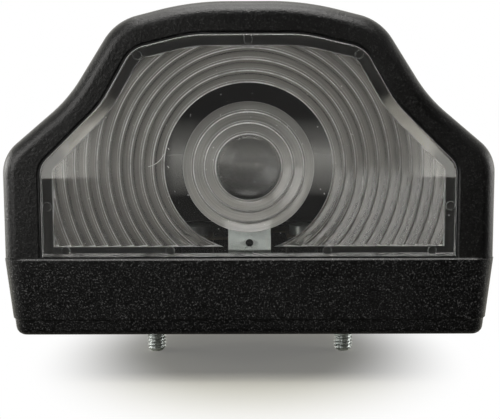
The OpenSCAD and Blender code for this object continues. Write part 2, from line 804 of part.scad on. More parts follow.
// Metal cap: a thin shell rolled in on the glass, with a floor and two bayonet pins
module bulb_cap() {
    rolled = 3;
    color([0.8, 0.78, 0.7]) on_axis(tip_y + cap_s) {
        difference() {
            cylinder(r = cap_r, h = cap_l);
            translate([0, 0, -past]) cylinder(r = neck_r, h = rolled + past);
            translate([0, 0, rolled]) cylinder(r = cap_r - cap_t, h = cap_l - rolled - cap_t);
            translate([0, 0, rolled]) cylinder(r = insulator_r, h = cap_l);
        }
        for (a = [0, 180]) rotate([0, 0, a + pin_turn]) translate([cap_r - cap_t / 2, 0, pin_s - cap_s])
            rotate([0, 90, 0]) cylinder(r = pin_r, h = pin_out + cap_t / 2);
    }
}

module bulb_insulator() {
    color([0.1, 0.1, 0.12]) on_axis(tip_y + cap_end_s) {
        translate([0, 0, -cap_t - 1]) cylinder(r = insulator_r, h = cap_t + 1);
        cylinder(r1 = insulator_r, r2 = contact_r + 0.5, h = insulator_h);
    }
}

module bulb_contact() {
    color([0.72, 0.72, 0.72]) on_axis(tip_y + cap_end_s + insulator_h)
        cylinder(r1 = contact_r, r2 = contact_r - 0.5, h = contact_h);
}

base_housing();
hood();
lens();
seam_gasket();
cable_grommet();
stud_left();
stud_right();
hood_screw_left();
hood_screw_right();
bulb_bracket();
bracket_rivet_left();
bracket_rivet_right();
socket_sleeve();
contact_leaf();
earth_strip();
live_screw();
earth_screw();
bulb_glass();
bulb_stem();
bulb_filament();
bulb_cap();
bulb_insulator();
bulb_contact();
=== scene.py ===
"""Number plate lamp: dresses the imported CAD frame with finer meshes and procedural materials.

Outlines are worked out in millimetres by the same rules as in part.scad, and meshes are made in metres.
Materials, floor, lamps and surroundings are given in metres.
"""

import math

import bmesh
import bpy
import numpy as np
from mathutils import Matrix, Vector


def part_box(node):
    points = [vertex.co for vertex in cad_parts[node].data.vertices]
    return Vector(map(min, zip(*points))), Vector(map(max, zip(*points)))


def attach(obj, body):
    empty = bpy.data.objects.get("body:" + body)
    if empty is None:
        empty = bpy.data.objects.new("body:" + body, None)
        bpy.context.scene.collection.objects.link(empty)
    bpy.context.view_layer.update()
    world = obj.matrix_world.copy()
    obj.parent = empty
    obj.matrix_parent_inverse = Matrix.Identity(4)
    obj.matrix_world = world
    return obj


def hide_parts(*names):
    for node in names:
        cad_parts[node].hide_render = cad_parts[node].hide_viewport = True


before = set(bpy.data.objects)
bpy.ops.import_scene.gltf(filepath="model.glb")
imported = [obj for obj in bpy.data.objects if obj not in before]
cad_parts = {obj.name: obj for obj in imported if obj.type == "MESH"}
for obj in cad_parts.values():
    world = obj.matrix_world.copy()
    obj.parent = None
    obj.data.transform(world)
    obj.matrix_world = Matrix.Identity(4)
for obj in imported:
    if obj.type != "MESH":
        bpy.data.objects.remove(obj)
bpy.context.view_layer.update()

MM = 0.001


def box_mm(node):
    """Lowest and highest corner of a CAD node in millimetres."""
    low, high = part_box(node)
    return np.array(low) / MM, np.array(high) / MM


# Places that the frame gives, in millimetres
HOOD_LOW, HOOD_HIGH = box_mm("hood")
LENS_LOW, LENS_HIGH = box_mm("lens")
SCREW_LOW, SCREW_HIGH = box_mm("hood_screw_right")
SEAM_Z = HOOD_LOW[2]
TOP_Z = HOOD_HIGH[2]
HOOD_X = HOOD_HIGH[0]
HOOD_H = TOP_Z - SEAM_Z
FRONT_Y = HOOD_LOW[1]
REAR_Y = HOOD_HIGH[1]
FLOOR_Z = box_mm("stud_left")[0][2]

# Share of a straight that a rounded corner may take up
CORNER_SHARE = 0.62

# How far a cutter runs past what it cuts, the angles over rounded edges, and the sides of small round cuts
PAST = 1
EDGE_ANGLES = np.linspace(0, math.pi / 2, 9)
SMALL_EDGE_ANGLES = np.linspace(0, math.pi / 2, 6)
SMALL_SIDES = 32

# Hood: the corners of its bell shape, its roof and its edges
SHOULDER_UP = 18.4
SHOULDER_R = 7.2
WAIST_IN = 12.1
WAIST_DOWN = 16.9
WAIST_R = 26
CROWN_IN = 20.7
CROWN_DOWN = 3.4
CROWN_R = 9.7
PEAK_X = 9.9
PEAK_R = 50
HOOD_CORNERS = [
    (HOOD_X, 0, 0),
    (HOOD_X, SHOULDER_UP, SHOULDER_R),
    (HOOD_X - WAIST_IN, HOOD_H - WAIST_DOWN, WAIST_R),
    (HOOD_X - CROWN_IN, HOOD_H - CROWN_DOWN, CROWN_R),
    (PEAK_X, HOOD_H, PEAK_R),
    (0, HOOD_H, 0),
]
HOOD_WALL = 2.4
ROOF_DROP = 0.62
ROOF_POWER = 2.3
ROOF_ROWS = 33
FRONT_EDGE_R = 2.7
REAR_EDGE_R = 3.2

# Screw pockets in the hood's shoulders, with the columns under them
HOOD_SCREW = Vector((SCREW_LOW + SCREW_HIGH) / 2)
POCKET_UP = 7
POCKET_Z = SEAM_Z + POCKET_UP
POCKET_R = 3.4
COLUMN_WALL = 1.5
TOWER_R = 3.85
SCREW_BORE_R = 1.75

# Height over the seam of a place in the hollow that all of the hood's inner faces look at
INSIDE_MIDDLE_UP = 12

# Window in the hood's front: how far each corner lies in from and below the hood's, and its radius
FRAME_SIDE = 6.9
FRAME_TOP = 5.7
FRAME_SHOULDER_DOWN = 1.7
FRAME_WAIST_IN = 5.9
FRAME_WAIST_DOWN = 1
FRAME_CROWN_IN = 2.9
FRAME_CROWN_DOWN = 4.8
WINDOW_SHOULDER_R = 4
WINDOW_WAIST_R = 18
WINDOW_CROWN_R = 5.4
WINDOW_PEAK_R = 26
WINDOW_OFFSETS = [
    (FRAME_SIDE, 0, 0),
    (FRAME_SIDE, FRAME_SHOULDER_DOWN, WINDOW_SHOULDER_R),
    (FRAME_WAIST_IN, FRAME_WAIST_DOWN, WINDOW_WAIST_R),
    (FRAME_CROWN_IN, FRAME_CROWN_DOWN, WINDOW_CROWN_R),
    (0, FRAME_TOP, WINDOW_PEAK_R),
    (0, FRAME_TOP, 0),
]
WINDOW_CORNERS = [(h[0] - w[0], h[1] - w[1], w[2]) for h, w in zip(HOOD_CORNERS, WINDOW_OFFSETS)]
LIP_ROUND = 0.5
LIP_FLARE = 0.4
LEDGE_W = 1.0
LEDGE_T = 1.4
LEDGE_GAP = 0.04

# Lens plate
LENS_Y = LENS_LOW[1]
LENS_T = 2.2
LENS_BACK_Y = LENS_Y + LENS_T
LENS_GAP = 0.1
LENS_BEVEL = 0.4
LENS_BACK_BEVEL = 0.15
LENS_FOOT_SLOPE = 0.48
CAVITY_Y = LENS_BACK_Y + LEDGE_T
BORDER_W = 1.9
BULB_UP = 16.2
AXIS_Z = SEAM_Z + BULB_UP

# Field of the Fresnel rings on the lens's back, whose border leans inwards over these heights
FIELD_DRAFT = 0.35
FIELD_HEIGHTS = (-1, 0, 3)

# Rings: each has a riser, a flat land on its crest and a nick in its slope, and is rooted in the plate
RELIEF_ROOT = 0.5
RING_PITCH = 2.0
RING_H = 0.8
RING_RISER = 0.1
RING_LAND = 0.13
RING_LOW = 0.2
RING_VALLEY = 0.02
RING_ROUNDING = 0.03
RING_ROUNDING_STEPS = 4
RING_NICK = 0.55
RING_NICK_W = 0.025
RING_NICK_T = 0.06
RING_FIRST_R = 15.0
RING_SIDES = 360

# Bull's-eye: a dome inside small rings
EYE_R = 11.7
EYE_RINGS = 3
EYE_SIDES = 240
DOME_R = 5.8
DOME_H = LENS_HIGH[1] - LENS_BACK_Y
DOME_ROWS = 14

# Ejector-pin marks: their size, the height of the side ones, and the places of those at the foot
PIN_MARK_R = 0.8
PIN_MARK_T = 0.15
SIDE_MARK_UP = 9.2
FOOT_MARK_UP = BORDER_W / 2 + 0.2
FOOT_MARK_IN = 4.2
FOOT_MARK_SHARE = 0.38

# Material slots of the lens
PLATE, RINGS, EYE, DOME, EDGE, BORDER, FOOT = range(7)

# Milky haze as (level, share): the level rises over HAZE_RISE metres and is a half on the lens's axis
HAZE_RISE = 0.04
# The haze is partly painted reflection, and its change with height is painted light and shade
RING_HAZE = [(0.1, 0.346), (0.5, 0.466), (0.9, 0.48)]
EYE_HAZE = [(0.22, 0.6), (0.28, 0.68), (0.37, 0.66), (0.47, 0.43), (0.6, 0.4)]

# How much of the haze is left over the width of one ring: painted light and shade across each ring
RING_SHARE = [(0.0, 1.0), (0.4, 1.0), (0.8, 0.55), (0.96, 0.9)]

# Painted shade on the dome: a dark foot below the lens's axis, and the levels between which it clears
DOME_PAINTED_SHADE = (0.06, 0.06, 0.055)
DOME_SHADE_LEVELS = (0.37, 0.45)

# Turning marks of the lens's mould: depth in millimetres, wandering in metres, and how dull they are
TURNING_DEPTH = 0.008
TURNING_DRIFT = 0.0003
TURNING_DULL = 0.68

# Specks on the lens, and a fine curved hair: its middle, its arc's centre, and half its width and length
DUST_COLOUR = (0.95, 0.95, 0.93, 1)
HAIR_AT = (-0.01605, LENS_Y * MM, (AXIS_Z + 1.05) * MM)
HAIR_BEND = (-0.0185, LENS_Y * MM, (AXIS_Z + 4.1) * MM)
HAIR_R = math.dist(HAIR_AT, HAIR_BEND)
HAIR_HALF_W = 0.00006
HAIR_HALF_L = 0.0019

# Painted reflection on the border where it lies on the ledge, as milky patches the same on both sides:
# middle and reach in metres, and strength
BORDER_REFLECTIONS = [
    ((0.029, abs(LENS_BACK_Y) * MM, 0.038), 0.009, 1.0),
    ((0.011, abs(LENS_BACK_Y) * MM, 0.016), 0.004, 0.6),
]
REFLECTION_RIPPLE = 0.003

# Depth of the plastic's grain in millimetres, how much deeper its coarse part is, and the metal's streaks
GRAIN_DEPTH = 0.04
COARSE_GRAIN = 1.3
STREAK_DEPTH = 0.004

# CAD meshes: points this near in millimetres are one, and faces that lean this little are one
SAME_PLACE = 0.002
FLAT_ANGLE = math.radians(0.5)

# Bevels and smooth shading: steps in a bevel, the least angle that is rounded, and the weight of flat faces
BEVEL_SEGMENTS = 2
BEVEL_ANGLE = math.radians(30)
SMOOTH_WEIGHT = 80

# Studs: a rolled thread whose flanks are cut off at crest and root, under a hexagon head
STUD_R = 1.95
STUD_FLATS = 7.0
STUD_HEAD_H = 2.8
HEAD_CHAMFER = 0.4
THREAD_PITCH = 0.7
THREAD_DEPTH = 0.36
THREAD_SIDES = 40
THREAD_ROWS = 10
THREAD_CHAMFER = 0.75
FLANK_TOP = 1.25
FLANK_SLOPE = 1.6

# Bulb, measured from the tip of its glass, and its coil on two wires
TIP_Y = box_mm("bulb_glass")[0][1]
BALL_R = 9.2
GLASS_T = 0.6
NECK_R = 6.6
NECK_S = box_mm("bulb_glass")[1][1] - TIP_Y
COIL_TURNS = 15
COIL_ROWS = 14
COIL_R = 0.38
COIL_WIRE_R = 0.07
LEAD_R = 0.2
LEAD_FOOT_X = 1.2

# Bracket: a strip whose hole is plugged at the rear, with painted shade on the plug and blurred round it
STRIP_T = 1.0
HOLE_R = 0.8
HOLE_RIM = 0.5
HOLE_Z = box_mm("bulb_bracket")[0][2] + 2 * STRIP_T + HOLE_R + HOLE_RIM
STRIP_LEAN = 0.58
HOLE_SHADE_SCALE = (340, 0, 900)
HOLE_SHADE_DARK = 0.7

# Widths of bevels
BASE_BEVEL = 0.08
BRACKET_BEVEL = 0.12
SCREW_BEVEL = 0.12
HEAD_BEVEL = 0.15
TERMINAL_BEVEL = 0.1
RIVET_BEVEL = 0.1
SLEEVE_BEVEL = 0.06
THIN_BEVEL = 0.08

# Floor: its radius and middle, its paper, and the depths between which it turns dark for unseen rays
FLOOR_R = 0.16
FLOOR_Y = 0.113
FLOOR_SIDES = 96
FLOOR_PAPER = (0.55, 0.545, 0.48, 1)
FLOOR_DARK = (0.02, 0.02, 0.02, 1)
FLOOR_DARK_FROM = -0.012
FLOOR_DARK_TO = -0.03

# Zone where the lamp's shadow fades into white, as a distance on the narrowed floor
SHADOW_SCALE = (1.35, 1.04, 0.0)
SHADOW_FULL = 0.024
SHADOW_END = 0.061
SHADOW_LEAST = 0.12

# Surroundings: where the light comes from, how it grows from front to back, and its warm tint
LIGHT_FROM = (-0.15, 0.9, 0.1)
FRONT_LEAN = -0.25
BACK_LEAN = 0.6
FRONT_LIGHT = 0.01
BACK_LIGHT = 1.15
WORLD_TINT = (1.0, 0.985, 0.92)

# Low pale panels in front: a direction's height and side are taken as shares of their range
PANELS_AHEAD = -0.5
PANEL_LOW = -0.11
PANEL_HIGH = -0.01
PANEL_SIDE = 0.25
MIDDLE_PANEL = {
    "light": 2.8,
    "up": [(0.08, 0.0), (0.15, 0.25), (0.35, 0.7), (0.5, 1.0), (0.65, 0.45), (0.9, 0.0)],
    "across": [(0.31, 0.0), (0.34, 0.7), (0.66, 0.8), (0.69, 0.0)],
}
OUTER_PANEL = {
    "light": 4.8,
    "up": [(0.28, 0.0), (0.3, 1.0), (0.8, 1.0), (0.95, 0.0)],
    "across": [(0.03, 0.0), (0.045, 1.0), (0.125, 1.0), (0.135, 0.55), (0.17, 0.45), (0.18, 0.2),
               (0.23, 0.0), (0.79, 0.0), (0.83, 0.45), (0.845, 1.0), (0.92, 1.0), (0.935, 0.0)],
}

# Lamps: name, place, size, brightness of the surface, and the point that it faces
LAMP_TINT = (1.0, 0.985, 0.96)
LAMP_AIM = (0, 0, 0.03)
SIDE_LAMP_AIM = (0, 0, 0.02)
LAMPS = [
    ("lamp_left", (-0.36, -0.43, 0.15), (0.3, 0.3), 3.5, LAMP_AIM),
    ("lamp_high", (0.0, -0.3, 0.5), (0.4, 0.3), 5.5, LAMP_AIM),
    ("lamp_top", (-0.02, 0.0, 0.5), (0.42, 0.34), 3.2, LAMP_AIM),
    ("lamp_side", (-0.6, 0.05, 0.1), (0.5, 0.24), 5.0, SIDE_LAMP_AIM),
    ("lamp_side", (0.6, 0.05, 0.1), (0.5, 0.24), 4.0, SIDE_LAMP_AIM),
]

# Camera: the view that fits the photograph, its place in millimetres
VIEW_W = 500
CAMERA_AT = (1.05, FRONT_Y - 174.2, 43.4)
CAMERA_YAW = math.radians(-0.264)
CAMERA_PITCH = math.radians(6.58)
CAMERA_ROLL = math.radians(-0.2)
FOCAL_PIXELS = 986.8
SENSOR = 36.0


def unit(v):
    """Vector of length one in the direction of v."""
    return v / np.linalg.norm(v)


def corner(a, b, c, steps):
    """Arc that rounds corner b = (x, y, radius) between a and c, as rows of x, y, normal x, normal y."""
    p, q, r = (np.array(v[:2], float) for v in (a, b, c))
    u, v = unit(q - p), unit(r - q)
    turn = math.atan2(u[0] * v[1] - u[1] * v[0], u @ v)
    half_tan = math.tan(abs(turn) / 2)
    radius = min(b[2], CORNER_SHARE * min(np.linalg.norm(q - p), np.linalg.norm(r - q)) / half_tan)
    side = math.copysign(1, turn)
    start = np.array([u[1], -u[0]])
    centre = q - u * radius * half_tan - side * radius * start
    rows = []
    for i in range(steps + 1):
        s, k = math.sin(turn * i / steps), math.cos(turn * i / steps)
        n = np.array([start[0] * k - start[1] * s, start[0] * s + start[1] * k])
        rows.append((*(centre + side * radius * n), *n))
    return rows


def half_outline(path, steps=14, between=3):
    """Right half of an outline: its first point, its rounded corners and points along its straights."""
    d = unit(np.array([path[1][0] - path[0][0], path[1][1] - path[0][1]], float))
    rows = [(path[0][0], path[0][1], d[1], -d[0])]
    for a, b, c in zip(path, path[1:], path[2:]):
        arc = corner(a, b, c, steps)
        last, first = np.array(rows[-1]), np.array(arc[0])
        rows += [tuple(last + (first - last) * i / (between + 1)) for i in range(1, between + 1)]
        rows += arc
    return np.array(rows)


def both_sides(half):
    """Closed outline from a right half's points: up the left side and down the right side."""
    left = half * [-1, 1, 1]
    return np.vstack([left, half[::-1]])


def upright(half, y, inset=0.0, foot=0.0):
    """Upright outline at y, moved in by inset, with its bottom points lowered by foot."""
    z = SEAM_Z + half[:, 1] - half[:, 3] * inset
    z[0] -= foot
    return both_sides(np.column_stack([half[:, 0] - half[:, 2] * inset, np.full(len(half), y), z]))


def new_piece(name, verts, faces):
    """Mesh object from points in millimetres, with its faces turned outwards."""
    mesh = bpy.data.meshes.new(name)
    mesh.from_pydata([tuple(MM * float(c) for c in v) for v in verts], [], faces)
    bm = bmesh.new()
    bm.from_mesh(mesh)
    bmesh.ops.recalc_face_normals(bm, faces=bm.faces)
    bm.to_mesh(mesh)
    bm.free()
    piece = bpy.data.objects.new(name, mesh)
    bpy.context.scene.collection.objects.link(piece)
    return piece


def loft(name, rows):
    """Closed skin through outlines of the same length, with level strips at its two ends."""
    n = len(rows[0])
    last = (len(rows) - 1) * n
    faces = [(i + j, i + (j + 1) % n, i + n + (j + 1) % n, i + n + j)
             for i in range(0, last, n) for j in range(n)]
    strips = [(j, j + 1, n - 2 - j, n - 1 - j) for j in range(n // 2 - 1)]
    faces += strips + [tuple(last + v for v in reversed(s)) for s in strips]
    return new_piece(name, np.vstack(rows), faces)


def turned(name, profile, steps, axis, at):
    """Solid of revolution of a closed profile of (radius, height); points at radius 0 lie on the axis."""
    verts, faces, columns = [], [], []
    for r, s in profile:
        count = 1 if r < 1e-6 else steps
        columns.append((len(verts), count))
        for k in range(count):
            a = 2 * math.pi * k / steps
            x, z = r * math.cos(a), r * math.sin(a)
            point = (x, s, z) if axis == "y" else (x, z, s)
            verts.append([p + o for p, o in zip(point, at)])
    for (a, na), (b, nb) in zip(columns, columns[1:] + columns[:1]):
        if na == 1 and nb == 1:
            continue
        for k in range(steps):
            m = (k + 1) % steps
            quad = [a + k % na, a + m % na, b + m % nb, b + k % nb]
            faces.append(list(dict.fromkeys(quad)))
    return new_piece(name, verts, faces)


def cylinder(name, radius, low, high, at, steps=64):
    """Upright cylinder between two heights."""
    return turned(name, [(0, low), (radius, low), (radius, high), (0, high)], steps, "z", (at[0], at[1], 0))


def tube(name, path, radius, sides):
    """Closed round wire along a path."""
    points = [np.array(p, float) for p in path]
    verts, faces = [], []
    for i, p in enumerate(points):
        along = unit(points[min(i + 1, len(points) - 1)] - points[max(i - 1, 0)])
        side = unit(np.cross(along, (0, 0, 1) if abs(along[2]) < 0.8 else (0, 1, 0)))
        up = np.cross(side, along)
        for k in range(sides):
            a = 2 * math.pi * k / sides
            verts.append(p + radius * (side * math.cos(a) + up * math.sin(a)))
    for i in range(len(points) - 1):
        for k in range(sides):
            m = (k + 1) % sides
            faces.append((i * sides + k, i * sides + m, (i + 1) * sides + m, (i + 1) * sides + k))
    faces += [tuple(range(sides)), tuple(range(len(verts) - sides, len(verts)))]
    return new_piece(name, verts, faces)


def copy_of(node, name):
    """Copy of a CAD node's mesh with its triangles joined back into flat faces."""
    piece = bpy.data.objects.new(name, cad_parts[node].data.copy())
    bpy.context.scene.collection.objects.link(piece)
    piece.data.materials.clear()
    bm = bmesh.new()
    bm.from_mesh(piece.data)
    bmesh.ops.remove_doubles(bm, verts=bm.verts, dist=SAME_PLACE * MM)
    bmesh.ops.dissolve_limit(bm, angle_limit=FLAT_ANGLE, verts=bm.verts, edges=bm.edges)
    bm.to_mesh(piece.data)
    bm.free()
    return piece


def join(piece, other):
    """Adds another piece's mesh to a piece."""
    bm = bmesh.new()
    bm.from_mesh(piece.data)
    bm.from_mesh(other.data)
    bm.to_mesh(piece.data)
    bm.free()
    bpy.data.objects.remove(other)


def apply_modifiers(piece):
    """Turns a piece's modifiers into its own mesh."""
    evaluated = piece.evaluated_get(bpy.context.evaluated_depsgraph_get())
    mesh = bpy.data.meshes.new_from_object(evaluated)
    piece.modifiers.clear()
    piece.data = mesh


def combine(piece, tool, operation):
    """Applies a boolean of tool to piece and removes the tool."""
    modifier = piece.modifiers.new("boolean", "BOOLEAN")
    modifier.solver = "MANIFOLD"
    modifier.operation = operation
    modifier.object = tool
    apply_modifiers(piece)
    bpy.data.objects.remove(tool)
    return piece


def bevel(piece, width):
    """Rounds a piece's sharp edges, width in millimetres."""
    modifier = piece.modifiers.new("bevel", "BEVEL")
    modifier.width = width * MM
    modifier.segments = BEVEL_SEGMENTS
    modifier.limit_method = "ANGLE"
    modifier.angle_limit = BEVEL_ANGLE
    modifier.harden_normals = False
    apply_modifiers(piece)


def smooth(piece, angle=32):
    """Smooth shading apart from edges sharper than angle, flat faces kept flat by face weight."""
    mesh = piece.data
    mesh.shade_smooth()
    mesh.set_sharp_from_angle(angle=math.radians(angle))
    modifier = piece.modifiers.new("weighted", "WEIGHTED_NORMAL")
    modifier.keep_sharp = True
    modifier.weight = SMOOTH_WEIGHT
    apply_modifiers(piece)


def finished(piece, slot, nodes, *materials):
    """Gives a piece its materials and its place on the frame, and hides the CAD nodes that it stands for."""
    piece.data.materials.clear()
    for material in materials:
        piece.data.materials.append(material)
    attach(piece, "root")
    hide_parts(*nodes)


class Nodes:
    """Short calls for building the node tree of a new material, or of a world."""

    def __init__(self, name, world=None):
        """Starts from the tree of a new material, or from a given world's."""
        self.material = world or bpy.data.materials.new(name)
        self.material.use_nodes = True
        self.tree = self.material.node_tree
        self.bsdf = self.tree.nodes.get("Principled BSDF")

    def fill(self, socket, value):
        """Links an input to an output, or sets its plain value."""
        if isinstance(value, bpy.types.NodeSocket):
            self.tree.links.new(value, socket)
        else:
            socket.default_value = value

    def add(self, kind, inputs=None, **settings):
        """New node with its settings, and its inputs filled by name or number."""
        node = self.tree.nodes.new(kind)
        for key, value in settings.items():
            setattr(node, key, value)
        for key, value in (inputs or {}).items():
            self.fill(node.inputs[key], value)
        return node

    def set(self, **values):
        """Fills inputs of the main shader, with _ for each space in their names."""
        for key, value in values.items():
            self.fill(self.bsdf.inputs[key.replace("_", " ")], value)

    def position(self):
        """Place on the piece in metres."""
        return self.add("ShaderNodeTexCoord").outputs["Object"]

    def axes(self, vector):
        """Parts X, Y and Z of a vector."""
        return self.add("ShaderNodeSeparateXYZ", {0: vector}).outputs

    def math(self, operation, a, b=0.0):
        """Arithmetic on two numbers."""
        return self.add("ShaderNodeMath", {0: a, 1: b}, operation=operation).outputs[0]

    def vector(self, operation, a, b=(0, 0, 0)):
        """Arithmetic on two vectors: the output Vector, or Value where it gives a number."""
        return self.add("ShaderNodeVectorMath", {0: a, 1: b}, operation=operation).outputs

    def noise(self, vector, scale, detail=2.0, roughness=0.5):
        """Noise from 0 to 1, scale in waves to a metre."""
        inputs = {"Vector": vector, "Scale": scale, "Detail": detail, "Roughness": roughness}
        return self.add("ShaderNodeTexNoise", inputs).outputs["Fac"]

    def remap(self, value, low, high, to_low=0.0, to_high=1.0, kind="LINEAR"):
        """Value between low and high, moved to the range between to_low and to_high."""
        inputs = {0: value, 1: low, 2: high, 3: to_low, 4: to_high}
        return self.add("ShaderNodeMapRange", inputs, interpolation_type=kind).outputs[0]

    def ramp(self, value, *stops):
        """Colour ramp through two or more (place, colour) stops; a single number is a grey."""
        node = self.add("ShaderNodeValToRGB", {"Fac": value})
        elements = node.color_ramp.elements
        elements[0].position, elements[1].position = stops[0][0], stops[-1][0]
        for place, colour in stops[1:-1]:
            elements.new(place)
        for element, (place, colour) in zip(elements, stops):
            grey = isinstance(colour, (int, float))
            element.color = (colour, colour, colour, 1) if grey else (*colour, 1)
        return node.outputs["Color"]

    def mix(self, factor, a, b):
        """Colour a where the factor is 0, and b where it is 1."""
        return self.add("ShaderNodeMix", {0: factor, 6: a, 7: b}, data_type="RGBA").outputs[2]

    def bump(self, height, distance, under=None):
        """Bump from a height of 0 to 1, distance in millimetres."""
        inputs = {"Height": height, "Distance": distance * MM, "Strength": 1.0}
        if under is not None:
            inputs["Normal"] = under
        return self.add("ShaderNodeBump", inputs).outputs["Normal"]


def grained_plastic(name, roughness, crest):
    """Black moulding with a spark-eroded grain, pale on its crests, and a little fine dust."""
    n = Nodes(name)
    where = n.position()
    fine = n.noise(where, scale=3500, roughness=0.6)
    coarse = n.noise(where, scale=1500)
    patches = n.noise(where, scale=90, detail=3.0)
    # Pale crests: partly dust, partly painted highlight where the grain catches light
    crests = n.ramp(fine, (0.42, 0.0002), (0.52, 0.002), (0.6, 0.2 * crest), (0.7, crest))
    specks = n.ramp(n.noise(where, scale=2100, detail=1.0), (0.0, 0), (0.76, 0), (0.8, 0.1))
    n.set(Base_Color=n.mix(specks, crests, (0.35, 0.35, 0.33, 1)))
    n.set(Roughness=n.ramp(patches, (0.3, roughness - 0.04), (0.7, roughness + 0.06)))
    rough_grain = n.bump(coarse, GRAIN_DEPTH * COARSE_GRAIN)
    n.set(Normal=n.bump(fine, GRAIN_DEPTH, under=rough_grain))
    return n.material


def inner_plastic():
    """The smooth side of the same moulding, inside the hood."""
    n = Nodes("plastic_inside")
    where = n.position()
    n.set(Base_Color=n.ramp(n.noise(where, scale=160), (0.3, 0.006), (0.7, 0.011)))
    n.set(Roughness=n.ramp(n.noise(where, scale=500, detail=3.0), (0.3, 0.3), (0.7, 0.38)))
    n.set(Normal=n.bump(n.noise(where, scale=2200), 0.006))
    return n.material


def lens_place(n, where):
    """Height over the lens's axis and distance from it, in metres."""
    parts = n.axes(where)
    height = n.math("SUBTRACT", parts["Z"], AXIS_Z * MM)
    squares = n.math("ADD", n.math("MULTIPLY", parts["X"], parts["X"]), n.math("MULTIPLY", height, height))
    return height, n.math("SQRT", squares)


def lens_dust(n, where):
    """Mask of the specks and the curved hair that lie on the lens."""
    specks = n.ramp(n.noise(where, scale=1500, detail=1.0), (0.0, 0), (0.77, 0), (0.79, 0.8))
    off = n.math("SUBTRACT", n.vector("DISTANCE", where, HAIR_BEND)["Value"], HAIR_R)
    on_arc = n.math("LESS_THAN", n.math("ABSOLUTE", off), HAIR_HALF_W)
    near = n.math("LESS_THAN", n.vector("DISTANCE", where, HAIR_AT)["Value"], HAIR_HALF_L)
    return n.math("MAXIMUM", specks, n.math("MULTIPLY", on_arc, near))


def turning_noise(n, where, radius):
    """Noise over the distance from the lens's axis, wandering a little, as turning marks do."""
    drift = n.noise(where, scale=40, detail=1.0)
    along = n.add("ShaderNodeCombineXYZ", {"X": radius, "Y": n.math("MULTIPLY", drift, TURNING_DRIFT)})
    return n.noise(along.outputs[0], scale=2200, detail=3.0, roughness=0.7)


def clear_plastic(name, tint, haze, roughness, marks=0.0, pitch=0.0, foot=None):
    """Clear dusty moulding with a milky haze, partly painted light: one share or a list of (level, share).

    It can have turning marks of a given depth, painted light and shade across each ring of a given pitch,
    where the haze is weaker on their outer part, and a dark foot colour below the lens's axis: painted
    shade.
    """
    n = Nodes(name)
    where = n.position()
    height, radius = lens_place(n, where)
    level = n.math("ADD", n.math("DIVIDE", height, HAZE_RISE), 0.5)
    colour = (*tint, 1)
    if marks:
        turning = turning_noise(n, where, radius)
        dull = tuple(c * TURNING_DULL for c in tint)
        colour = n.ramp(turning, (0.34, dull), (0.44, tint), (0.52, dull), (0.6, tint), (0.72, dull))
        n.set(Normal=n.bump(turning, marks))
    # Painted shade: the foot colour darkens the lens below its axis
    if foot:
        colour = n.ramp(level, (DOME_SHADE_LEVELS[0], foot), (DOME_SHADE_LEVELS[1], tint))
    milk = n.ramp(level, *haze) if isinstance(haze, list) else haze
    if pitch:
        # Painted light and shade: milkier and lighter on each ring's inner part, darker on its outer part
        turns = n.math("DIVIDE", n.math("SUBTRACT", radius, RING_FIRST_R * MM), pitch * MM)
        milk = n.math("MULTIPLY", milk, n.ramp(n.math("FRACT", turns), *RING_SHARE))
    clear = n.math("SUBTRACT", 1.0, lens_dust(n, where))
    n.set(Base_Color=n.mix(clear, DUST_COLOUR, colour), Roughness=roughness, IOR=1.49)
    n.set(Transmission_Weight=n.math("MULTIPLY", clear, n.math("SUBTRACT", 1.0, milk)))
    return n.material


def edge_highlight(name, least, most):
    """Steep, narrow faces of the clear moulding, white as a painted highlight, here more and there less."""
    n = Nodes(name)
    glint_patches = n.noise(n.position(), scale=420, detail=3.0, roughness=0.6)
    n.set(Base_Color=n.ramp(glint_patches, (0.28, least), (0.5, most)))
    n.set(Roughness=0.3, Metallic=0.45, IOR=1.49)
    return n.material


def border_reflection():
    """Back of the lens's border, milky in patches near the hood's ledge: a painted reflection."""
    n = Nodes("lens_border")
    where = n.position()
    mirrored = n.vector("ABSOLUTE", where)[0]
    ripple = n.math("MULTIPLY", n.noise(where, scale=500), REFLECTION_RIPPLE)
    reflection_share = 0.0
    for at, reach, strength in BORDER_REFLECTIONS:
        away = n.math("ADD", n.vector("DISTANCE", mirrored, at)["Value"], ripple)
        stops = [(0.15, strength), (0.6, strength * 0.8), (1.0, 0.01)]
        reflection_share = n.math("MAXIMUM", reflection_share, n.ramp(n.math("DIVIDE", away, reach), *stops))
    n.set(Base_Color=(1.0, 0.97, 0.88, 1), Roughness=0.28, IOR=1.49)
    n.set(Transmission_Weight=n.math("SUBTRACT", 1.0, reflection_share))
    return n.material


def hole_shade_blur(n, where, cloud, shade_z):
    """Mask of a blurred painted shade at a height on the middle line."""
    off = n.vector("SUBTRACT", where, (0, 0, shade_z))[0]
    away = n.vector("LENGTH", n.vector("MULTIPLY", off, HOLE_SHADE_SCALE)[0])["Value"]
    blurred = n.math("ADD", away, n.math("MULTIPLY", cloud, 0.5))
    return n.ramp(blurred, (0.75, 1.0), (1.3, 0.0))


